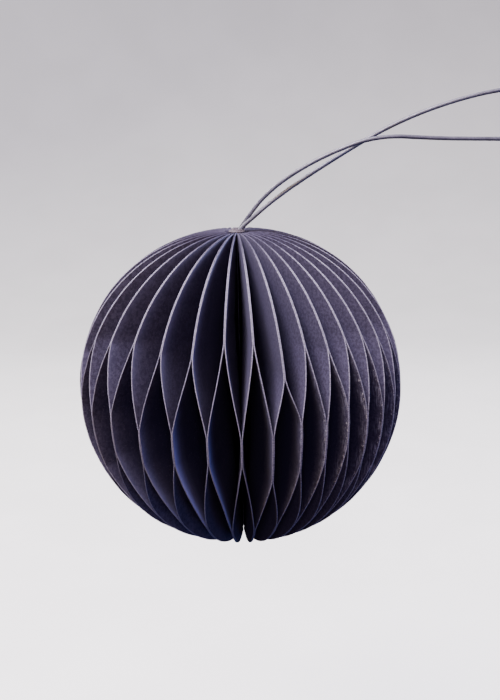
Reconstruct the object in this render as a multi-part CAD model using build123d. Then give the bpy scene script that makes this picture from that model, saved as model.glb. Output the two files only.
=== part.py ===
from build123d import *
import math
import os

# A paper honeycomb ball on a cord loop. The leaves are half discs that stand round a common axis, which
# is Z, and the origin is the ball's centre. An azimuth is in degrees, counted from -Y towards +X, so the
# seam between the two cover boards is at 180.

BALL_HEIGHT = 100.0
BALL_RADIUS = 51.6
CORE_RADIUS = 2.6  # where the straight edges of the leaves are bound
PAIR_COUNT = 32
SEAM = 180.0

RIM_THICKNESS = 0.34  # soft paper, pressed thinner where it is bound
PAPER_GAP = 0.035  # the glue between two leaves
SEAM_GAP = 0.04
COVER_GAP = 0.1  # between a cover and the first leaf, at the rim
CORE_SLACK = 0.001  # left over at each leaf on the core
COVER_THICKNESS = 1.2

# Heights of the glue bands. Two leaves of a pair are glued above CROWN and below FOOT, and a pair is
# glued to its neighbours between WAIST_TOP and WAIST_BOTTOM.
CROWN = 22.0
WAIST_TOP = 0.0
WAIST_BOTTOM = -11.0
FOOT = -34.5

# The blanks of the leaves reach past the ball's outline and are cut to it.
CUT_MARGIN = 3.0
CUT_DEPTH = 12.0

# The hand that made the ball spread the leaves unevenly round it, in degrees at the rim.
CROWDING = 11.0
CROWDING_LEAN = 1.5

MAGNET_RADIUS = 3.0
MAGNET_THICKNESS = 0.8
MAGNET_CLEARANCE = 0.05
MAGNET_HEIGHT = 30.0
MAGNET_REACH = 33.0  # from the axis

TAPE_THICKNESS = 0.2
TAPE_GAP = 0.1  # the glue between the tape and the leaves
TAPE_HEIGHT = 97.0
TAPE_SLIT = 50.0  # degrees left open at the seam

CORD_DIAMETER = 1.3
KNOT_HEIGHT = 36.0
KNOT_RADIUS = 2.0
STRAND_GAP = 0.7  # the free loop starts at a slant, just above the strands in the core

# The sleeve that the cord comes out of stands in the top of the core, a little to the cord's side.
SLEEVE_PLACE = 0.4
SLEEVE_RADIUS = 1.88
SLEEVE_BORE = 1.53
SLEEVE_TOP = 50.2
SLEEVE_BOTTOM = 39.0

# The cord's free loop, from one strand's exit at the top pole to the other's: straight runs between
# these points, rounded at each corner. The far end hangs over whatever carries the ball.
CORD_ROUTE = [
    (0.92, 0.66, 50.2),
    (1.9, 0.62, 51.9),
    (4.2, 0.5, 54.9),
    (8.0, 0.1, 59.9),
    (15.6, -0.5, 66.3),
    (28.0, -1.0, 73.1),
    (43.6, -1.3, 78.6),
    (62.0, -1.0, 77.1),
    (80.5, -0.3, 76.5),
    (90.5, -0.2, 76.2),
    (97.5, -0.1, 77.9),
    (100.9, 0.0, 82.6),
    (99.3, 0.3, 88.6),
    (92.5, 0.6, 91.9),
    (82.5, 1.0, 91.3),
    (71.0, 1.3, 89.2),
    (57.0, 1.5, 84.9),
    (43.5, 1.5, 79.0),
    (28.5, 1.2, 70.2),
    (17.5, 0.7, 63.4),
    (9.9, 0.0, 58.1),
    (5.0, -0.5, 54.0),
    (2.2, -0.65, 51.7),
    (0.92, -0.66, 50.2),
]

ARC_SHARE = 0.45  # of the shorter run beside a corner of the cord

PARTS = "parts"

RIM_DEPTH = BALL_RADIUS - CORE_RADIUS
HALF_HEIGHT = BALL_HEIGHT / 2
COVER_OUTSIDE = SEAM_GAP / 2 + COVER_THICKNESS
LEAF_PITCH = CORE_RADIUS * (math.pi - math.asin(COVER_OUTSIDE / CORE_RADIUS)) / PAIR_COUNT - CORE_SLACK
SPINE_THICKNESS = LEAF_PITCH - PAPER_GAP
RIM_SPAN = SEAM - math.degrees(math.asin((COVER_OUTSIDE + COVER_GAP) / BALL_RADIUS))
CUT_RADIUS = BALL_RADIUS + CUT_MARGIN
CUT_HEIGHT = HALF_HEIGHT + CUT_MARGIN


def direction(azimuth):
    angle = math.radians(azimuth)
    return Vector(math.sin(angle), -math.cos(angle), 0)


def crossways(azimuth):
    return direction(azimuth + 90)


def rim_azimuth(share):
    """Where a pair's contact plane meets the rim, for a share of the way round from seam to seam."""
    even = SEAM * (2 * share - 1)
    twist = math.radians(even)
    uneven = -CROWDING * math.sin(twist) ** 2 - CROWDING_LEAN * math.sin(2 * twist)
    return RIM_SPAN * (2 * share - 1) + uneven


def half_disc(plane):
    """The outline of a leaf or a cover, with its straight edge on the core."""
    with BuildSketch(plane) as outline:
        with BuildLine():
            EllipticalCenterArc((CORE_RADIUS, 0), RIM_DEPTH, HALF_HEIGHT, -90, arc_size=180)
            Line((CORE_RADIUS, HALF_HEIGHT), (CORE_RADIUS, -HALF_HEIGHT))
        make_face()
    return outline.sketch


def leaf(spine_place, middle, half_angle, side):
    """One leaf of a pair. side is -1 or 1, and the leaf swings from the pair's middle plane, where it
    is glued to its twin, out to the contact plane, where it is glued to the next pair."""
    spine_azimuth = math.degrees(spine_place / CORE_RADIUS)
    glued = math.degrees((RIM_THICKNESS + PAPER_GAP) / 2 / BALL_RADIUS)
    inner = direction(spine_azimuth) * CORE_RADIUS
    inner_half = crossways(spine_azimuth) * SPINE_THICKNESS / 2

    def section(height, spread):
        azimuth = middle + side * (glued + spread * (half_angle - 2 * glued))
        outer = direction(azimuth) * CUT_RADIUS
        outer_half = crossways(azimuth) * RIM_THICKNESS / 2
        level = Vector(0, 0, height)
        corners = [inner - inner_half, outer - outer_half, outer + outer_half, inner + inner_half]
        return Wire.make_polygon([corner + level for corner in corners], close=True)

    blank = Solid.make_loft(
        [
            section(CUT_HEIGHT, 0),
            section(CROWN, 0),
            section(WAIST_TOP, 1),
            section(WAIST_BOTTOM, 1),
            section(FOOT, 0),
            section(-CUT_HEIGHT, 0),
        ],
        ruled=True,
    )
    facing = Plane(
        origin=(0, 0, 0),
        x_dir=direction(middle + side * half_angle / 2),
        z_dir=-crossways(middle + side * half_angle / 2),
    )
    knife = extrude(half_disc(facing), amount=CUT_DEPTH, both=True)
    return (blank & knife).solids()[0]


def leaf_pair(number):
    first = rim_azimuth(number / PAIR_COUNT)
    last = rim_azimuth((number + 1) / PAIR_COUNT)
    place = (2 * number + 1 - PAIR_COUNT) * LEAF_PITCH
    return Compound(
        [
            leaf(place + side * LEAF_PITCH / 2, (first + last) / 2, (last - first) / 2, side)
            for side in (-1, 1)
        ]
    )


def cover(side):
    """A stiff end leaf, flat against the seam, with two pockets for its magnets."""
    inside = Plane.YZ.offset(side * SEAM_GAP / 2)
    board = extrude(half_disc(inside), amount=side * COVER_THICKNESS)
    pocket = Circle(MAGNET_RADIUS + MAGNET_CLEARANCE)
    depth = side * (MAGNET_THICKNESS + MAGNET_CLEARANCE)
    for place in magnet_places():
        board -= extrude(inside * Pos(*place) * pocket, amount=depth)
    return board.solids()[0]


def magnet_places():
    return [(MAGNET_REACH, MAGNET_HEIGHT), (MAGNET_REACH, -MAGNET_HEIGHT)]


def magnets(side):
    inside = Plane.YZ.offset(side * SEAM_GAP / 2)
    disc = Circle(MAGNET_RADIUS)
    return Compound(
        [
            extrude(inside * Pos(*place) * disc, amount=side * MAGNET_THICKNESS).solids()[0]
            for place in magnet_places()
        ]
    )


def spine_tape():
    """The strip that binds the straight edges, rolled to an open tube."""
    outside = CORE_RADIUS - TAPE_GAP
    inside = outside - TAPE_THICKNESS
    with BuildPart() as tape:
        with BuildSketch(Plane.XY.offset(-TAPE_HEIGHT / 2)):
            Circle(outside)
            Circle(inside, mode=Mode.SUBTRACT)
            half_slit = math.radians(TAPE_SLIT / 2)
            reach = 2 * CORE_RADIUS
            with BuildLine():
                Polyline(
                    (0, 0),
                    (reach * math.sin(half_slit), reach * math.cos(half_slit)),
                    (-reach * math.sin(half_slit), reach * math.cos(half_slit)),
                    close=True,
                )
            make_face(mode=Mode.SUBTRACT)
        extrude(amount=TAPE_HEIGHT)
    return tape.part.solids()[0]


def corner_radii(points):
    """Each corner's arc, as large as its two runs allow."""
    radii = []
    for before, corner, after in zip(points, points[1:], points[2:]):
        run_in = corner - before
        run_out = after - corner
        turn = math.radians(run_in.get_angle(run_out))
        radii.append(ARC_SHARE * min(run_in.length, run_out.length) / math.tan(turn / 2))
    return radii


def hanging_cord():
    points = [Vector(*point) for point in CORD_ROUTE]
    radii = corner_radii(points)
    path = FilletPolyline(*points, radius=radii)
    start = Plane(origin=path @ 0, z_dir=path % 0)
    tube = sweep(start * Circle(CORD_DIAMETER / 2), path=path)
    section_area = math.pi * CORD_DIAMETER**2 / 4
    print("cord radii", [round(radius, 1) for radius in radii])
    print("cord length", round(path.length, 1), "volume", round(tube.volume, 2))
    print("section times length", round(section_area * path.length, 2))
    return tube.solids()[0]


def cord_knot():
    """The tied end of the cord inside the core, and the two strands that rise from it to the pole."""
    knot = Pos(0, 0, KNOT_HEIGHT) * Sphere(KNOT_RADIUS)
    for x, y, exit_height in (CORD_ROUTE[0], CORD_ROUTE[-1]):
        length = exit_height - STRAND_GAP - KNOT_HEIGHT
        knot += Pos(x, y, KNOT_HEIGHT + length / 2) * Cylinder(CORD_DIAMETER / 2, length)
    return knot.solids()[0]


def cord_sleeve():
    height = SLEEVE_TOP - SLEEVE_BOTTOM
    middle = Pos(SLEEVE_PLACE, 0, SLEEVE_BOTTOM + height / 2)
    sleeve = Cylinder(SLEEVE_RADIUS, height) - Cylinder(SLEEVE_BORE, height)
    return (middle * sleeve).solids()[0]


def save(shape, node):
    export_step(shape, os.path.join(PARTS, node + ".step"))


def main():
    os.makedirs(PARTS, exist_ok=True)
    for number in range(PAIR_COUNT):
        save(leaf_pair(number), f"leaf_pair_{number + 1:02d}")
    for name, side in (("left", -1), ("right", 1)):
        save(cover(side), f"cover_board_{name}")
        save(magnets(side), f"magnets_{name}")
    save(spine_tape(), "spine_tape")
    save(hanging_cord(), "hanging_cord")
    save(cord_knot(), "cord_knot")
    save(cord_sleeve(), "cord_sleeve")


main()
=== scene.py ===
import math

import bmesh
import bpy
import numpy as np
from mathutils import Matrix, Vector


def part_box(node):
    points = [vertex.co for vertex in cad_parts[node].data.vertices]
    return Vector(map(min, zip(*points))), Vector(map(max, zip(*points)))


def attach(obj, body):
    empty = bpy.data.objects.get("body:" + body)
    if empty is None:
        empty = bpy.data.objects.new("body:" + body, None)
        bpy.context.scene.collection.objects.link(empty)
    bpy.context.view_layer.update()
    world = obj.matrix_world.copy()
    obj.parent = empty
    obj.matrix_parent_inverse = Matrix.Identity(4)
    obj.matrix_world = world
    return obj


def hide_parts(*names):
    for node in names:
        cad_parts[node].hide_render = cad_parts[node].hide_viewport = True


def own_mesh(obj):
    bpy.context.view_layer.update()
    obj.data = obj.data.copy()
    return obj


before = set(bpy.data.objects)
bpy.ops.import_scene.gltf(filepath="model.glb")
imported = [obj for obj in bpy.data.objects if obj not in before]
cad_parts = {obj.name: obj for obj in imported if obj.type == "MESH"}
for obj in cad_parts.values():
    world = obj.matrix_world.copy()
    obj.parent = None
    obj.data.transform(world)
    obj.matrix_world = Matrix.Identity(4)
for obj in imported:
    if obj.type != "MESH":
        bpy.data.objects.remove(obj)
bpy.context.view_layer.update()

# A paper honeycomb ball on its cord loop. Lengths are in metres, the ball's centre is the origin, and an
# azimuth is in degrees, counted from -Y towards +X, so the seam between the covers is at 180.

MM = 0.001

PAIR_COUNT = sum(name.startswith("leaf_pair_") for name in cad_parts)
HALF_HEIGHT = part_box("leaf_pair_01")[1].z
BALL_RADIUS = 51.6 * MM
CORE_RADIUS = 2.6 * MM
RIM_DEPTH = BALL_RADIUS - CORE_RADIUS
LINE_REACH = BALL_RADIUS + 3 * MM  # the radius where a leaf's azimuth is counted
SEAM = 180.0
COVER_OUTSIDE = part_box("cover_board_right")[1].x
COVER_GAP = 0.1 * MM  # between a cover and the first leaf, at the rim
RIM_SPAN = SEAM - math.degrees(math.asin((COVER_OUTSIDE + COVER_GAP) / BALL_RADIUS))
CROWDING = 11.0  # degrees, how unevenly the leaves are spread at the rim
CROWDING_LEAN = 1.5
CORE_SLACK = 0.001 * MM  # left over at each leaf on the core
CORE_ARC = CORE_RADIUS * (math.pi - math.asin(COVER_OUTSIDE / CORE_RADIUS))
LEAF_PITCH = CORE_ARC / PAIR_COUNT - CORE_SLACK


# ---------------------------------------------------------------- camera

CAMERA_DISTANCE = 0.4
CAMERA_ELEVATION = 17.03
CAMERA_ROLL = 1.34  # the ball's axis leans to the left
CAMERA_LENS = 63.5
CAMERA_SHIFT = (0.0138, 0.0485)


def make_camera():
    elevation, roll = math.radians(CAMERA_ELEVATION), math.radians(CAMERA_ROLL)
    back = Vector((0, -math.cos(elevation), math.sin(elevation)))
    level_up = Vector((0, math.sin(elevation), math.cos(elevation)))
    level_right = Vector((1, 0, 0))
    right = level_right * math.cos(roll) - level_up * math.sin(roll)
    up = level_right * math.sin(roll) + level_up * math.cos(roll)
    data = bpy.data.cameras.new("camera")
    data.lens = CAMERA_LENS
    data.sensor_width = 36
    data.shift_x, data.shift_y = CAMERA_SHIFT
    data.clip_start, data.clip_end = 0.01, 20
    camera = bpy.data.objects.new("camera", data)
    turn = Matrix((right, up, back)).transposed().to_4x4()
    camera.matrix_world = Matrix.Translation(back * CAMERA_DISTANCE) @ turn
    bpy.context.scene.collection.objects.link(camera)
    bpy.context.scene.camera = camera


make_camera()


# ---------------------------------------------------------------- the hanging cord

CORD_DIAMETER = 1.3 * MM

CORD_ROUTE = [
    (0.00092, 0.00066, 0.0502),
    (0.0019, 0.00062, 0.0519),
    (0.0042, 0.0005, 0.0549),
    (0.008, 0.0001, 0.0599),
    (0.0156, -0.0005, 0.0663),
    (0.028, -0.001, 0.0731),
    (0.0436, -0.0013, 0.0786),
    (0.062, -0.001, 0.0771),
    (0.0805, -0.0003, 0.0765),
    (0.0905, -0.0002, 0.0762),
    (0.0975, -0.0001, 0.0779),
    (0.1009, 0.0, 0.0826),
    (0.0993, 0.0003, 0.0886),
    (0.0925, 0.0006, 0.0919),
    (0.0825, 0.001, 0.0913),
    (0.071, 0.0013, 0.0892),
    (0.057, 0.0015, 0.0849),
    (0.0435, 0.0015, 0.079),
    (0.0285, 0.0012, 0.0702),
    (0.0175, 0.0007, 0.0634),
    (0.0099, 0.0, 0.0581),
    (0.005, -0.0005, 0.054),
    (0.0022, -0.00065, 0.0517),
    (0.00092, -0.00066, 0.0502),
]


CORD_SIDES = 24
CORD_STRANDS = 3
CORD_LAY = 7 * MM  # one strand's full turn
CORD_GROOVE = 0.03  # of the radius


def link(name, data):
    piece = bpy.data.objects.new(name, data)
    bpy.context.scene.collection.objects.link(piece)
    return piece


def route_points():
    """The cord's centreline: a smooth spline through the route, read back as points."""
    curve = bpy.data.curves.new("route", "CURVE")
    curve.dimensions = "3D"
    curve.resolution_u = 20
    spline = curve.splines.new("NURBS")
    spline.points.add(len(CORD_ROUTE) - 1)
    for point, place in zip(spline.points, CORD_ROUTE):
        point.co = (*place, 1)
    spline.order_u = 3
    spline.use_endpoint_u = True
    route = link("route", curve)
    line = bpy.data.meshes.new_from_object(route)
    points = [vertex.co.copy() for vertex in line.vertices]
    bpy.data.objects.remove(route)
    bpy.data.meshes.remove(line)
    return points


def tube_mesh(name, points, radius, sides, strands, lay, groove):
    """A closed tube along the points, with the shallow grooves of its twisted strands."""
    vertices, faces = [], []
    normal = Vector((0, 1, 0))
    gone = 0.0
    for i, point in enumerate(points):
        ahead = (points[min(i + 1, len(points) - 1)] - points[max(i - 1, 0)]).normalized()
        normal = (normal - ahead * normal.dot(ahead)).normalized()
        side = ahead.cross(normal)
        if i:
            gone += (point - points[i - 1]).length
        for j in range(sides):
            turn = 2 * math.pi * j / sides
            ridge = math.cos(strands * (turn - 2 * math.pi * gone / lay))
            reach = radius * (1 - groove * (1 - ridge) / 2)
            vertices.append(point + (normal * math.cos(turn) + side * math.sin(turn)) * reach)
    for i in range(len(points) - 1):
        for j in range(sides):
            k = (j + 1) % sides
            base = i * sides
            faces.append((base + j, base + k, base + sides + k, base + sides + j))
    last = (len(points) - 1) * sides
    faces.append(tuple(range(sides - 1, -1, -1)))
    faces.append(tuple(range(last, last + sides)))
    mesh = bpy.data.meshes.new(name)
    mesh.from_pydata(vertices, [], faces)
    mesh.shade_smooth()
    return mesh


def make_cord():
    points = route_points()
    radius = CORD_DIAMETER / 2
    mesh = tube_mesh("hanging_loop", points, radius, CORD_SIDES, CORD_STRANDS, CORD_LAY, CORD_GROOVE)
    cord = link("hanging_loop", mesh)
    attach(cord, "hanger")
    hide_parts("hanging_cord")
    return cord


cord = make_cord()


# ---------------------------------------------------------------- material tools


class Nodes:
    """A material's node tree, with short calls for the nodes that the materials here use."""

    def __init__(self, name):
        self.material = bpy.data.materials.new(name)
        self.material.use_nodes = True
        self.tree = self.material.node_tree
        self.shader = self.tree.nodes["Principled BSDF"]

    def link(self, source, target):
        self.tree.links.new(source, target)

    def add(self, kind, **settings):
        node = self.tree.nodes.new(kind)
        for name, value in settings.items():
            setattr(node, name, value)
        return node

    def attribute(self, name, output="Fac"):
        return self.add("ShaderNodeAttribute", attribute_name=name).outputs[output]

    def object_place(self):
        return self.add("ShaderNodeTexCoord").outputs["Object"]

    def noise(self, place, size, detail=3.0, roughness=0.55, stretch=(1, 1, 1)):
        """Noise whose features are about size metres across, stretched along its axes."""
        mapping = self.add("ShaderNodeMapping")
        mapping.inputs["Scale"].default_value = [1 / (size * s) for s in stretch]
        self.link(place, mapping.inputs["Vector"])
        noise = self.add("ShaderNodeTexNoise")
        noise.inputs["Scale"].default_value = 1
        noise.inputs["Detail"].default_value = detail
        noise.inputs["Roughness"].default_value = roughness
        self.link(mapping.outputs["Vector"], noise.inputs["Vector"])
        return noise.outputs["Fac"]

    def ramp(self, value, low, high, to_low=0.0, to_high=1.0):
        """The value between low and high, spread over to_low to to_high, smoothly."""
        node = self.add("ShaderNodeMapRange", interpolation_type="SMOOTHSTEP")
        limits = {"From Min": low, "From Max": high, "To Min": to_low, "To Max": to_high}
        for name, limit in limits.items():
            node.inputs[name].default_value = limit
        self.link(value, node.inputs["Value"])
        return node.outputs["Result"]

    def math(self, operation, first, second):
        node = self.add("ShaderNodeMath", operation=operation)
        for value, target in ((first, node.inputs[0]), (second, node.inputs[1])):
            if isinstance(value, (int, float)):
                target.default_value = value
            else:
                self.link(value, target)
        return node.outputs[0]

    def mix(self, share, first, second):
        """A colour between two, each a colour or a link."""
        node = self.add("ShaderNodeMix", data_type="RGBA")
        self.link(share, node.inputs[0])
        for value, target in ((first, node.inputs[6]), (second, node.inputs[7])):
            if isinstance(value, tuple):
                target.default_value = (*value, 1)
            else:
                self.link(value, target)
        return node.outputs[2]

    def bump(self, height, distance, strength=1.0, onto=None):
        node = self.add("ShaderNodeBump")
        node.inputs["Strength"].default_value = strength
        node.inputs["Distance"].default_value = distance
        self.link(height, node.inputs["Height"])
        if onto is not None:
            self.link(onto, node.inputs["Normal"])
        return node.outputs["Normal"]

    def finish(self, colour, roughness, normal=None, **values):
        self.link(colour, self.shader.inputs["Base Color"])
        if isinstance(roughness, (int, float)):
            self.shader.inputs["Roughness"].default_value = roughness
        else:
            self.link(roughness, self.shader.inputs["Roughness"])
        if normal is not None:
            self.link(normal, self.shader.inputs["Normal"])
        for name, value in values.items():
            self.shader.inputs[name.replace("_", " ")].default_value = value
        return self.material


# ---------------------------------------------------------------- materials

INK = (0.036, 0.030, 0.052)
INK_FADED = (0.074, 0.064, 0.106)
INK_GRAIN_AND_SHADE = (0.007, 0.006, 0.026)
INK_FIBRE = (0.12, 0.11, 0.16)
PAINTED_BLUE_LIGHT = (0.40, 0.42, 0.80)
INK_RUBBED = (0.25, 0.24, 0.33)
CUT_EDGE = (0.245, 0.228, 0.30)
CUT_EDGE_DARK = (0.11, 0.102, 0.145)
GLUE = (0.55, 0.52, 0.58)
BARE_BOARD = (0.085, 0.078, 0.098)
CORD_DARK, CORD_LIGHT, CORD_STRAND = (0.042, 0.040, 0.062), (0.075, 0.072, 0.100), (0.15, 0.145, 0.19)
TAPE_DARK, TAPE_LIGHT = (0.05, 0.045, 0.075), (0.12, 0.11, 0.15)
CARD_DARK, CARD_LIGHT = (0.050, 0.040, 0.052), (0.115, 0.094, 0.112)
NICKEL, NICKEL_STAINED = (0.62, 0.60, 0.57), (0.50, 0.49, 0.48)
FLOOR_DARK, FLOOR_LIGHT = (0.84, 0.835, 0.83), (0.88, 0.875, 0.87)

# How large the paper's features are.
MOTTLE_SIZE = 0.9 * MM
FIBRE_SIZE = 0.32 * MM
GRAIN_SIZE = 0.22 * MM
CLOUD_SIZE = 7 * MM
CLOUD_SHARE = 0.12  # of the ink's tone, where the mottle makes the rest


def paper_material():
    """Dyed paper: mottled ink over pressed fibres, pale where the cut edge shows its core, with painted
    shade deep in the cells and a painted blue glow beside some rims.
    """
    n = Nodes("dyed_paper")
    place = n.attribute("paper", "Vector")
    clouds = n.noise(place, CLOUD_SIZE, 2)
    mottle = n.noise(place, MOTTLE_SIZE, 4, 0.65)
    fibres = n.noise(place, FIBRE_SIZE, 3, 0.6, (3.2, 1, 1))
    cross_fibres = n.noise(place, 0.3 * MM, 3, 0.6, (1, 1, 3.6))
    grain = n.noise(place, GRAIN_SIZE, 3, 0.6)
    cloudy = n.math("MULTIPLY", clouds, CLOUD_SHARE)
    tone = n.math("ADD", cloudy, n.math("MULTIPLY", mottle, 1 - CLOUD_SHARE))
    face = n.mix(n.ramp(tone, 0.38, 0.62), INK, INK_FADED)
    face = n.mix(n.ramp(grain, 0.35, 0.65, 0.0, 0.35), face, INK_GRAIN_AND_SHADE)
    # Painted shade: deep in the cells, away from the rims, the faces darken to the dark ink.
    face = n.mix(n.attribute("painted_recess_shade"), face, INK_GRAIN_AND_SHADE)
    # Painted light: the blue glow beside some rims.
    face = n.mix(n.attribute("painted_blue_light"), face, PAINTED_BLUE_LIGHT)
    strokes = n.noise(place, 0.5 * MM, 3, 0.6, (1, 1, 7))
    patches = n.noise(place, 4 * MM, 2)
    rubbed = n.math("MULTIPLY", n.ramp(strokes, 0.42, 0.66), n.ramp(patches, 0.4, 0.58, 0.12, 1.0))
    face = n.mix(n.math("MULTIPLY", rubbed, n.attribute("rubbed")), face, INK_RUBBED)
    strands = n.ramp(n.math("MAXIMUM", fibres, cross_fibres), 0.62, 0.78, 0.0, 0.55)
    face = n.mix(strands, face, INK_FIBRE)
    edge_reach = n.math("ADD", n.attribute("rim"), n.math("MULTIPLY", mottle, 0.5))
    rim = n.ramp(edge_reach, 0.72, 1.12)
    edge = n.mix(n.ramp(fibres, 0.35, 0.62), CUT_EDGE_DARK, CUT_EDGE)
    colour = n.mix(rim, face, edge)
    specks = n.noise(place, 0.8 * MM, 4, 0.75, (1, 1, 1.8))
    glue = n.math("MULTIPLY", n.ramp(specks, 0.57, 0.62), n.attribute("rubbed"))
    glue = n.math("MULTIPLY", glue, n.ramp(n.attribute("rim"), 0.0, 0.08, 0.15, 1.0))
    colour = n.mix(glue, colour, GLUE)
    normal = n.bump(mottle, 0.05 * MM, 0.5)
    normal = n.bump(fibres, 0.03 * MM, 0.45, normal)
    normal = n.bump(glue, 0.12 * MM, 0.6, normal)
    roughness = n.ramp(mottle, 0.3, 0.7, 0.78, 0.93)
    return n.finish(
        colour,
        roughness,
        normal,
        Specular_IOR_Level=0.15,
        Sheen_Weight=0.03,
        Sheen_Roughness=0.5,
        Sheen_Tint=(0.6, 0.55, 0.85, 1.0),
    )


def cord_material():
    """A waxed cord: long fine strands under a soft shine."""
    n = Nodes("waxed_cord")
    place = n.object_place()
    strands = n.noise(place, 0.22 * MM, 3, 0.6)
    clouds = n.noise(place, 4 * MM, 2)
    colour = n.mix(n.ramp(clouds, 0.35, 0.65), CORD_DARK, CORD_LIGHT)
    colour = n.mix(n.ramp(strands, 0.5, 0.72), colour, CORD_STRAND)
    normal = n.bump(strands, 0.05 * MM, 0.5)
    roughness = n.ramp(strands, 0.3, 0.7, 0.34, 0.5)
    return n.finish(colour, roughness, normal, Specular_IOR_Level=0.6, Sheen_Weight=0.1)


def board_material():
    """Stiff board faced with the leaves' paper, its pale grey core bare at the cut edge."""
    n = Nodes("faced_board")
    place = n.object_place()
    mottle = n.noise(place, MOTTLE_SIZE, 4, 0.65)
    grain = n.noise(place, GRAIN_SIZE, 3, 0.6)
    fibres = n.noise(place, FIBRE_SIZE, 3, 0.6, (1, 3.2, 1))
    face = n.mix(n.ramp(mottle, 0.36, 0.64), INK, INK_FADED)
    face = n.mix(n.ramp(grain, 0.35, 0.65, 0.0, 0.35), face, INK_GRAIN_AND_SHADE)
    face = n.mix(n.ramp(fibres, 0.62, 0.78, 0.0, 0.5), face, INK_FIBRE)
    parts = n.add("ShaderNodeSeparateXYZ")
    n.link(place, parts.inputs[0])
    across = n.math("DIVIDE", n.math("SUBTRACT", parts.outputs["Y"], CORE_RADIUS), RIM_DEPTH)
    upright = n.math("DIVIDE", parts.outputs["Z"], HALF_HEIGHT)
    outline = n.math("ADD", n.math("POWER", across, 2.0), n.math("POWER", upright, 2.0))
    outline = n.math("ADD", outline, n.math("MULTIPLY", mottle, 0.006))
    rim = n.ramp(outline, 0.990, 0.999)
    colour = n.mix(rim, face, BARE_BOARD)
    normal = n.bump(fibres, 0.03 * MM, 0.45, n.bump(mottle, 0.05 * MM, 0.5))
    return n.finish(colour, 0.85, normal, Specular_IOR_Level=0.15, Sheen_Weight=0.03)


def tape_material():
    """Cloth binding tape."""
    n = Nodes("binding_tape")
    place = n.object_place()
    threads = n.noise(place, 0.25 * MM, 2, 0.5, (1, 1, 6))
    colour = n.mix(n.ramp(threads, 0.35, 0.65), TAPE_DARK, TAPE_LIGHT)
    return n.finish(colour, 0.9, n.bump(threads, 0.05 * MM, 0.6), Sheen_Weight=0.2)


def sleeve_material():
    """Rolled card, dyed like the leaves and scuffed pale."""
    n = Nodes("rolled_card")
    place = n.object_place()
    fibres = n.noise(place, 0.35 * MM, 4, 0.65)
    colour = n.mix(n.ramp(fibres, 0.35, 0.65), CARD_DARK, CARD_LIGHT)
    return n.finish(colour, 0.9, n.bump(fibres, 0.08 * MM, 0.7), Specular_IOR_Level=0.2)


def magnet_material():
    """Nickel plating with fine handling scratches."""
    n = Nodes("nickel_plate")
    place = n.object_place()
    scratches = n.noise(place, 0.15 * MM, 3, 0.6, (1, 9, 1))
    stains = n.noise(place, 1.8 * MM, 3)
    colour = n.mix(n.ramp(stains, 0.4, 0.7), NICKEL, NICKEL_STAINED)
    roughness = n.ramp(scratches, 0.3, 0.7, 0.32, 0.55)
    return n.finish(colour, roughness, n.bump(scratches, 0.01 * MM, 0.3), Metallic=1.0)


def floor_material():
    n = Nodes("floor")
    tone = n.noise(n.object_place(), 0.08, 2)
    colour = n.mix(n.ramp(tone, 0.3, 0.7), FLOOR_DARK, FLOOR_LIGHT)
    return n.finish(colour, 0.8, Specular_IOR_Level=0.2)


def dress(piece, material):
    piece.data.materials.clear()
    piece.data.materials.append(material)


# ---------------------------------------------------------------- the leaves

# Heights of the glue bands, in millimetres. The hand that glued them was uneven, so the pairs and
# contacts at the front have their own heights and the rest differ by a little at random.
CROWN, CROWN_SPREAD = 22.5, 1.6
WAIST_TOP, WAIST_TOP_SPREAD = 0.0, 1.4
WAIST_BOTTOM, WAIST_BOTTOM_SPREAD = -11.0, 2.0
FOOT, FOOT_SPREAD = -34.5, 1.4
FIRST_FRONT_PAIR = 10
FRONT_CROWNS = [14.0, 21.0, 22.0, 23.5, 22.0, 21.5, 25.5, 25.0, 15.5, 23.5, 21.5, 23.5, 23.5, 20.5]
FRONT_WAIST_TOPS = [-1.0, 2.0, -1.0, 0.0, -0.5, -1.0, -0.5, 3.0, 1.0, 4.5, 0.0, -1.5]
FRONT_WAIST_BOTTOMS = [-18.5, -11, -12, -10, -9, -9.5, -15.5, -12.5, -10.5, -6.5, -15, -18]

ROW_COUNT = 112
COLUMN_COUNT = 12
LAST_ROW = 89.3  # degrees up the rim, just short of the pole, where a leaf has no depth
COLUMN_CROWDING = 5.0
CORE_THICKNESS = 0.15 * MM
PAPER_THICKNESS = 0.30 * MM
FULL_THICKNESS_AT = 30 * MM
GLUE_GAP = 0.03 * MM
STRAIGHTNESS = 0.75  # of a leaf between two glue bands, where the rest is an S-shaped sway
RIM_SWELL = 0.10 * MM
FULL_SWELL_AT = 6 * MM
BEAD_SHOULDER = 0.75  # of the swell, where the rounded rim meets the faces
BEAD_WIDTH = 0.72  # of the paper's thickness
RIM_WOBBLE = 0.09 * MM
WOBBLE_LENGTHS = (2 * MM, 9 * MM)
WARP = 0.28 * MM
WARP_LENGTHS = (18 * MM, 60 * MM)
POLE_DIP = 0.3 * MM  # the leaves' top corners are drawn down round the sleeve
POLE_DIP_REACH = 9 * MM
RIM_FADE = 0.24 * MM
# Painted shade: the faces darken towards the dark ink over about this far in from the rim, on the faces
# outside and inside a pair.
SHADE_REACH_OUTSIDE = 15 * MM
SHADE_REACH_INSIDE = 3.5 * MM
# The pale cut edge fades towards the poles, less at the bottom than at the top: at the bottom it stays
# pale as painted light, standing in for light from below that the lamps do not give.
PALEST_EDGE_AT = 34 * MM
LEAST_PALE_EDGE_TOP, LEAST_PALE_EDGE_BOTTOM = 0.2, 0.9
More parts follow.
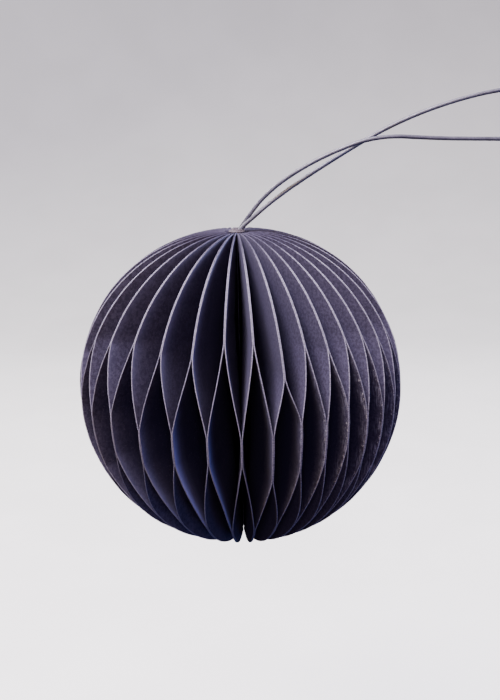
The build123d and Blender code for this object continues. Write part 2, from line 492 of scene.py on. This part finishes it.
# Where the left faces are rubbed to pale streaks, and where a narrow glow of blue light is painted beside
# the rims. The numbers after the pairs are how strongly.
RUBBED_PAIRS = {17: 0.1, 18: 0.3, 19: 0.45, 20: 0.6, 21: 0.8, 22: 0.6, 23: 0.5, 24: 0.5}
RUBBED_REACH = 2.6 * MM
RUBBED_MIDDLE = -6 * MM
RUBBED_HALF = 20 * MM
LOW_BLUE_PAIRS = {13: 0.1, 14: 0.25, 15: 0.9, 16: 1.0}
HIGH_BLUE_PAIRS = {12: 0.1, 13: 0.25, 14: 0.5, 15: 0.8, 16: 0.7}
BLUE_REACH = 1.9 * MM
BLUE_BELOW = 8 * MM
BLUE_ABOVE = 5 * MM
BLUE_FADE = 16 * MM
# Each sheet reads the paper's pattern from a place of its own, and its two faces from different ones.
SHEET_SHIFT = 0.11
FACE_SHIFT = 0.05

random = np.random.default_rng(11)


def rim_azimuth(share):
    """Where a contact between pairs meets the rim, for a share of the way round from seam to seam."""
    even = SEAM * (2 * share - 1)
    twist = math.radians(even)
    uneven = -CROWDING * math.sin(twist) ** 2 - CROWDING_LEAN * math.sin(2 * twist)
    return RIM_SPAN * (2 * share - 1) + uneven


def direction(azimuth):
    angle = math.radians(azimuth)
    return np.array([math.sin(angle), -math.cos(angle), 0.0])


def crossways(azimuth):
    return direction(azimuth + 90)


def uneven_heights(count, usual, spread, known, first):
    heights = usual + spread * random.uniform(-1, 1, count)
    heights[first:first + len(known)] = known
    return heights * MM


class GlueBands:
    """Heights in metres: a crown and a foot for each pair, and a waist for each contact."""

    def __init__(self):
        contacts = PAIR_COUNT + 1
        front = FIRST_FRONT_PAIR - 1
        self.crown = uneven_heights(PAIR_COUNT, CROWN, CROWN_SPREAD, FRONT_CROWNS, front)
        self.foot = uneven_heights(PAIR_COUNT, FOOT, FOOT_SPREAD, [], 0)
        self.waist_top = uneven_heights(
            contacts, WAIST_TOP, WAIST_TOP_SPREAD, FRONT_WAIST_TOPS, front + 2
        )
        self.waist_bottom = uneven_heights(
            contacts, WAIST_BOTTOM, WAIST_BOTTOM_SPREAD, FRONT_WAIST_BOTTOMS, front + 2
        )


def sway(share):
    """How far a leaf has crossed from its twin to the next pair."""
    share = np.clip(share, 0, 1)
    return STRAIGHTNESS * share + (1 - STRAIGHTNESS) * share**2 * (3 - 2 * share)


def line_to_rim(core_place, azimuth):
    """A level line's start on the core and its step per metre towards the rim."""
    start = direction(math.degrees(core_place / CORE_RADIUS)) * CORE_RADIUS
    end = direction(azimuth) * LINE_REACH
    return start, (end - start) / (LINE_REACH - CORE_RADIUS)


def waves(along, up, lengths, count=4):
    """A smooth uneven surface between -1 and 1, made of a few waves of random direction."""
    total = np.zeros(np.broadcast(along, up).shape)
    for _ in range(count):
        heading, phase = random.uniform(0, 2 * math.pi, 2)
        step = 2 * math.pi / random.uniform(*lengths)
        total += np.sin(step * (along * math.cos(heading) + up * math.sin(heading)) + phase)
    return total / count


def row_angles(joints):
    """Angles up the rim, with a row exactly at each height where a glue band ends."""
    angles = np.radians(np.linspace(-LAST_ROW, LAST_ROW, ROW_COUNT))
    for height in joints:
        wanted = math.asin(height / HALF_HEIGHT)
        angles[np.abs(angles - wanted).argmin()] = wanted
    return angles


def leaf_mesh(number, side, bands):
    """One leaf as a closed sheet: its points in rows round the loop, and what the paper's material reads
    at each point.
    """
    first, last = rim_azimuth(number / PAIR_COUNT), rim_azimuth((number + 1) / PAIR_COUNT)
    contact = number + (side > 0)
    crown, foot = bands.crown[number], bands.foot[number]
    waist_top, waist_bottom = bands.waist_top[contact], bands.waist_bottom[contact]
    place = (2 * number + 1 - PAIR_COUNT) * LEAF_PITCH
    twin_start, twin_step = line_to_rim(place, (first + last) / 2)
    next_start, next_step = line_to_rim(place + side * LEAF_PITCH, last if side > 0 else first)
    across = crossways((first + last) / 2 + side * (last - first) / 4)

    angles = row_angles([crown, waist_top, waist_bottom, foot])
    heights = HALF_HEIGHT * np.sin(angles)
    falling = sway((crown - heights) / (crown - waist_top))
    rising = sway((heights - foot) / (waist_bottom - foot))
    crossed = np.where(heights > waist_bottom, falling, rising)[:, None]

    steps = np.linspace(0, 1, COLUMN_COUNT)
    from_rim = np.expm1(COLUMN_CROWDING * steps) / math.expm1(COLUMN_CROWDING)
    depths = RIM_DEPTH * np.cos(angles)
    wobble = waves(0 * heights, heights, WOBBLE_LENGTHS, 6) * RIM_WOBBLE
    depths += wobble * np.cos(angles)
    out = depths[:, None] * (1 - from_rim[None, :])
    level = np.broadcast_to(heights[:, None], out.shape)

    grown = np.clip(out / FULL_THICKNESS_AT, 0, 1) ** 0.75
    half = (CORE_THICKNESS + (PAPER_THICKNESS - CORE_THICKNESS) * grown) / 2
    apart = half + GLUE_GAP / 2
    twin = twin_start + out[..., None] * twin_step + side * across * apart[..., None]
    other = next_start + out[..., None] * next_step - side * across * apart[..., None]
    middle = twin * (1 - crossed[..., None]) + other * crossed[..., None]
    free = 4 * crossed * (1 - crossed) * np.clip(out / RIM_DEPTH, 0, 1)
    warp = waves(out, level, WARP_LENGTHS) * WARP * free
    middle = middle + across * warp[..., None]
    dip = POLE_DIP * (1 - np.clip(depths / POLE_DIP_REACH, 0, 1)) ** 2 * (heights > 0)
    middle[..., 2] = level - dip[:, None]

    def skin(facing):
        return middle + across * (facing * half)[..., None]

    rim_middle = middle[:, 0]
    outward = middle[:, 0] - middle[:, -1]
    outward = outward / np.linalg.norm(outward, axis=1, keepdims=True)
    level_out = np.cos(angles)
    tilt = np.stack([outward[:, 0] * level_out, outward[:, 1] * level_out, np.sin(angles)], 1)
    swell = RIM_SWELL * np.clip(depths / FULL_SWELL_AT, 0.15, 1)[:, None]
    shoulder = rim_middle + tilt * swell * BEAD_SHOULDER
    aside = across * (half[:, 0] * BEAD_WIDTH)[:, None]
    bead = [shoulder - aside, rim_middle + tilt * swell, shoulder + aside]
    left, right = skin(-1), skin(1)
    loop = [left[:, i] for i in range(COLUMN_COUNT - 1, -1, -1)]
    loop += bead
    loop += [right[:, i] for i in range(COLUMN_COUNT)]
    points = np.stack(loop, 1)

    rim_distance = depths[:, None] * from_rim[None, :]
    # Painted light: the cut edge is kept paler towards the bottom pole than the top one.
    least = np.where(heights > 0, LEAST_PALE_EDGE_TOP, LEAST_PALE_EDGE_BOTTOM)
    edge_paleness = (least + (1 - least) * np.clip(depths / PALEST_EDGE_AT, 0, 1))[:, None]
    rim = np.exp(-rim_distance / RIM_FADE) * edge_paleness
    # Painted shade: rises from the rim inwards, slowly on a pair's outer faces and quickly inside it.
    outside = 1 - np.exp(-rim_distance / SHADE_REACH_OUTSIDE)
    inside = 1 - np.exp(-rim_distance / SHADE_REACH_INSIDE)
    near_waist = np.clip(1.6 - np.abs(level - RUBBED_MIDDLE) / RUBBED_HALF, 0, 1)
    near_rim = np.clip(1.25 - rim_distance / RUBBED_REACH, 0, 1)
    rubbed = near_waist * near_rim * RUBBED_PAIRS.get(number + 1, 0)
    if side < 0:
        rubbed = rubbed * 0
        painted_blue_light = np.clip((BLUE_BELOW - level) / BLUE_FADE, 0, 1) * LOW_BLUE_PAIRS.get(number + 1, 0)
    else:
        painted_blue_light = np.clip((level - BLUE_ABOVE) / BLUE_FADE, 0, 1) * HIGH_BLUE_PAIRS.get(number + 1, 0)
    # Painted light: a narrow blue glow beside the rim, low on the left leaves and high on the right ones,
    # on a few front pairs.
    painted_blue_light = painted_blue_light * np.exp(-rim_distance / BLUE_REACH)

    def round_the_loop(left_skin, bead_value, right_skin):
        if np.isscalar(bead_value):
            bead_value = np.full((len(left_skin), 3), bead_value)
        return np.concatenate([left_skin[:, ::-1], bead_value, right_skin], 1).ravel()

    clean = np.zeros_like(out)
    left_face, right_face = (outside, inside) if side < 0 else (inside, outside)
    finish = {
        "rim": round_the_loop(rim, np.repeat(edge_paleness, 3, 1), rim),
        "painted_recess_shade": round_the_loop(left_face, 0.0, right_face),
        "rubbed": round_the_loop(rubbed, 0.0, clean),
        "painted_blue_light": round_the_loop(clean, 0.0, painted_blue_light),
    }
    sheet = (2 * number + (side > 0)) * SHEET_SHIFT
    at_bead = np.repeat(out[:, :1], 3, 1)
    along = round_the_loop(out + sheet, at_bead + sheet, out + sheet)
    shift = round_the_loop(clean, 0.0, clean + FACE_SHIFT)
    up = round_the_loop(level, np.repeat(level[:, :1], 3, 1), level)
    return points, finish, np.stack([along, shift, up], 1)


def closed_faces(rows, around):
    """Quads between the rows of a tube-like mesh, and a cap at each end."""
    faces = []
    for row in range(rows - 1):
        for i in range(around):
            j = (i + 1) % around
            base = row * around
            faces.append((base + i, base + j, base + around + j, base + around + i))
    for row, order in ((0, -1), (rows - 1, 1)):
        base = row * around
        half = around // 2
        for i in range(half):
            quad = [base + i, base + i + 1, base + around - 2 - i, base + around - 1 - i]
            quad = list(dict.fromkeys(quad))
            if len(quad) > 2:
                faces.append(tuple(quad[::-order]) if order < 0 else tuple(quad))
    return faces


def make_leaf_pair(number, bands, material):
    name = f"leaf_pair_{number + 1:02d}"
    points, finishes, papers, faces = [], [], [], []
    count = 0
    for side in (-1, 1):
        grid, finish, paper = leaf_mesh(number, side, bands)
        rows, around = grid.shape[:2]
        faces += [tuple(count + i for i in face) for face in closed_faces(rows, around)]
        points.append(grid.reshape(-1, 3))
        finishes.append(finish)
        papers.append(paper)
        count += rows * around
    mesh = bpy.data.meshes.new(name + "_paper")
    mesh.from_pydata(np.concatenate(points).tolist(), [], faces)
    for title in finishes[0]:
        values = np.concatenate([finish[title] for finish in finishes])
        layer = mesh.attributes.new(title, "FLOAT", "POINT")
        layer.data.foreach_set("value", values.astype(np.float32))
    layer = mesh.attributes.new("paper", "FLOAT_VECTOR", "POINT")
    layer.data.foreach_set("vector", np.concatenate(papers).astype(np.float32).ravel())
    mesh.shade_smooth()
    mesh.validate()
    pair = link(name + "_paper", mesh)
    dress(pair, material)
    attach(pair, name)
    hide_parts(name)
    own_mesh(pair)


paper = paper_material()
glue_bands = GlueBands()
for pair_number in range(PAIR_COUNT):
    make_leaf_pair(pair_number, glue_bands, paper)


# ---------------------------------------------------------------- the sleeve

SLEEVE_PLACE = 0.4 * MM
SLEEVE_SIDES = 72
SLEEVE_LIP = 0.10 * MM  # how uneven its rolled lip is
SLEEVE_LOOSE_ABOVE = 49.3
LIP_WAVES = [(3, 0.5, 0.7), (5, 0.3, 2.1), (8, 0.2, 4.0)]  # waves round the lip, size, phase
# The sleeve stands beside the axis. Its collar is drawn back to the axis between these two radii.
COLLAR_INSIDE, COLLAR_OUTSIDE, COLLAR_ABOVE = 1.9, 2.3, 49.45
# The sleeve's section, as radius and height in millimetres: the glue that fills its mouth round the cord,
# the rolled lip, the collar that the lip ends in, and the outside down to the end in the core.
SLEEVE_SECTION = [
    (0.0, 49.72),
    (0.7, 49.74),
    (1.2, 49.9),
    (1.42, 50.3),
    (1.58, 50.62),
    (1.74, 50.74),
    (1.9, 50.64),
    (2.06, 50.34),
    (2.3, 50.06),
    (2.48, 50.0),
    (2.56, 49.94),
    (2.5, 49.89),
    (2.3, 49.87),
    (2.0, 49.75),
    (1.88, 49.4),
    (1.88, 39.0),
    (1.53, 39.0),
    (1.53, 39.2),
    (1.5, 49.3),
    (0.0, 49.35),
]


def make_sleeve():
    vertices, faces = [], []
    rings = len(SLEEVE_SECTION)
    for radius, height in SLEEVE_SECTION:
        loose = max(0.0, height - SLEEVE_LOOSE_ABOVE) * min(1.0, radius)
        collar = (radius - COLLAR_INSIDE) / (COLLAR_OUTSIDE - COLLAR_INSIDE)
        centred = max(0.0, min(1.0, collar)) * (height > COLLAR_ABOVE)
        place = SLEEVE_PLACE * (1 - centred)
        for i in range(SLEEVE_SIDES):
            angle = 2 * math.pi * i / SLEEVE_SIDES
            wave = sum(size * math.sin(count * angle + phase) for count, size, phase in LIP_WAVES)
            x = place + radius * MM * math.sin(angle)
            y = -radius * MM * math.cos(angle)
            vertices.append((x, y, height * MM + wave * SLEEVE_LIP * loose))
    for ring in range(rings - 1):
        for i in range(SLEEVE_SIDES):
            j = (i + 1) % SLEEVE_SIDES
            base, after = ring * SLEEVE_SIDES, (ring + 1) * SLEEVE_SIDES
            faces.append((base + i, base + j, after + j, after + i))
    mesh = bpy.data.meshes.new("cord_sleeve_card")
    mesh.from_pydata(vertices, [], faces)
    tidy = bmesh.new()
    tidy.from_mesh(mesh)
    bmesh.ops.remove_doubles(tidy, verts=tidy.verts, dist=0.001 * MM)
    bmesh.ops.recalc_face_normals(tidy, faces=tidy.faces)
    tidy.to_mesh(mesh)
    tidy.free()
    mesh.shade_smooth()
    sleeve = link("cord_sleeve_card", mesh)
    dress(sleeve, sleeve_material())
    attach(sleeve, "spine")
    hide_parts("cord_sleeve")


make_sleeve()


# ---------------------------------------------------------------- the CAD nodes that stay

dress(cord, cord_material())
dress(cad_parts["cord_knot"], cord.data.materials[0])
dress(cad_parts["spine_tape"], tape_material())
board = board_material()
nickel = magnet_material()
for hand in ("left", "right"):
    dress(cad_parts[f"cover_board_{hand}"], board)
    dress(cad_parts[f"magnets_{hand}"], nickel)


# ---------------------------------------------------------------- floor and lights

FLOOR = -0.22
WALL_RADIUS = 1.5
WALL_HEIGHT = 2.0
FLOOR_BEND = 0.6


def make_floor():
    """A round floor that curves up into a wall all round. It throws no light back on the ball, so the
    cells stay as dark as they are among dark surroundings."""
    sides, bends = 64, 12
    flat = WALL_RADIUS - FLOOR_BEND
    profile = [(flat / 3, FLOOR), (flat, FLOOR)]
    for step in range(1, bends + 1):
        angle = math.pi / 2 * step / bends
        rise = FLOOR_BEND * (1 - math.cos(angle))
        profile.append((flat + FLOOR_BEND * math.sin(angle), FLOOR + rise))
    profile.append((WALL_RADIUS, FLOOR + WALL_HEIGHT))
    points = [(0, 0, FLOOR)]
    for radius, height in profile:
        for i in range(sides):
            angle = 2 * math.pi * i / sides
            points.append((radius * math.cos(angle), radius * math.sin(angle), height))
    faces = [(0, 1 + i, 1 + (i + 1) % sides) for i in range(sides)]
    for ring in range(len(profile) - 1):
        inner, outer = 1 + ring * sides, 1 + (ring + 1) * sides
        for i in range(sides):
            j = (i + 1) % sides
            faces.append((inner + i, outer + i, outer + j, inner + j))
    mesh = bpy.data.meshes.new("floor")
    mesh.from_pydata(points, [], faces)
    mesh.shade_smooth()
    floor = link("floor", mesh)
    floor.visible_diffuse = False
    floor.visible_glossy = False
    floor.visible_shadow = False
    dress(floor, floor_material())


LIGHT_DISTANCE = 0.95


def make_light(name, azimuth, elevation, size, power, colour):
    """A round soft light, aimed at the ball's centre."""
    rise = math.radians(elevation)
    place = Vector(direction(azimuth)) * math.cos(rise) + Vector((0, 0, math.sin(rise)))
    data = bpy.data.lights.new(name, "AREA")
    data.shape = "DISK"
    data.size = size
    data.energy = power
    data.color = colour
    light = link(name, data)
    light.location = place * LIGHT_DISTANCE
    light.rotation_euler = (-place).to_track_quat("-Z", "Y").to_euler()


def make_world(above, below):
    """Weak light from all round, from a colour overhead to one underfoot."""
    world = bpy.data.worlds.new("world")
    world.use_nodes = True
    tree = world.node_tree
    place = tree.nodes.new("ShaderNodeTexCoord")
    parts = tree.nodes.new("ShaderNodeSeparateXYZ")
    height = tree.nodes.new("ShaderNodeMapRange")
    height.inputs["From Min"].default_value = -0.6
    height.inputs["From Max"].default_value = 0.9
    colour = tree.nodes.new("ShaderNodeMix")
    colour.data_type = "RGBA"
    colour.inputs[6].default_value = (*below, 1)
    colour.inputs[7].default_value = (*above, 1)
    tree.links.new(place.outputs["Generated"], parts.inputs[0])
    tree.links.new(parts.outputs["Z"], height.inputs["Value"])
    tree.links.new(height.outputs["Result"], colour.inputs[0])
    tree.links.new(colour.outputs[2], tree.nodes["Background"].inputs["Color"])
    bpy.context.scene.world = world


make_floor()
make_light("window", azimuth=-64, elevation=71, size=0.35, power=33.5, colour=(0.89, 0.85, 1.0))
make_light("lamp", azimuth=-30, elevation=50, size=0.35, power=8.5, colour=(1.0, 0.81, 0.56))
make_light("front", azimuth=0, elevation=25, size=0.35, power=3.5, colour=(0.90, 0.70, 1.0))
make_light("sky", azimuth=55, elevation=-35, size=0.35, power=2.2, colour=(0.15, 0.3, 1.0))
make_light("back_left", azimuth=-140, elevation=33, size=0.4, power=12.5, colour=(1.0, 0.96, 0.92))
make_light("back_right", azimuth=120, elevation=26, size=0.4, power=16, colour=(0.96, 0.94, 1.0))
make_world(above=(0.02, 0.02, 0.024), below=(0.02, 0.02, 0.03))
